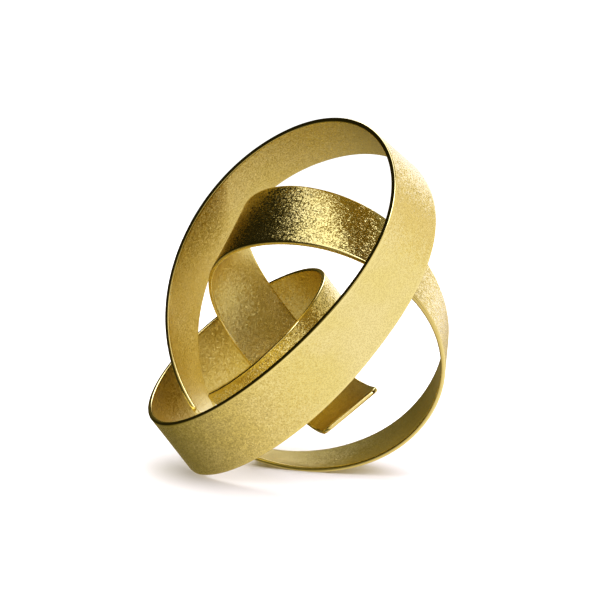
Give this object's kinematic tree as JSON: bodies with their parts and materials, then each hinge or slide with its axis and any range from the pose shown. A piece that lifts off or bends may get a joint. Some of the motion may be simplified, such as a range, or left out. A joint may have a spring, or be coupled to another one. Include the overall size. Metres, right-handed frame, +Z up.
{
  "type": "metal ring disentanglement puzzle",
  "caption": "Open bands bent from flat gold-coloured strip and looped through each other, free to be turned until one slips off the other.",
  "frame": {"origin": "centre of the bounding box at the height of the table it stands on", "axes": "+Z up, +Y from the front to the back, +X to the right as seen from the front"},
  "size_m": [0.0648, 0.0689, 0.0752],
  "materials": {
    "large_band_gold": "fine blasted satin with polished edges",
    "small_band_gold": "fine blasted satin with polished edges"
  },
  "bodies": {
    "large": {"large_band": "large_band_gold"},
    "small": {"small_band": "small_band_gold"}
  },
  "joints": [
    {"name": "small_band_turn", "type": "hinge", "parent": "large", "child": "small", "pos_m": [0.0065, 0.0017, 0.0314], "axis": [0.5208, 0.7818, 0.3429], "range_deg": [-74, 18]}
  ]
}
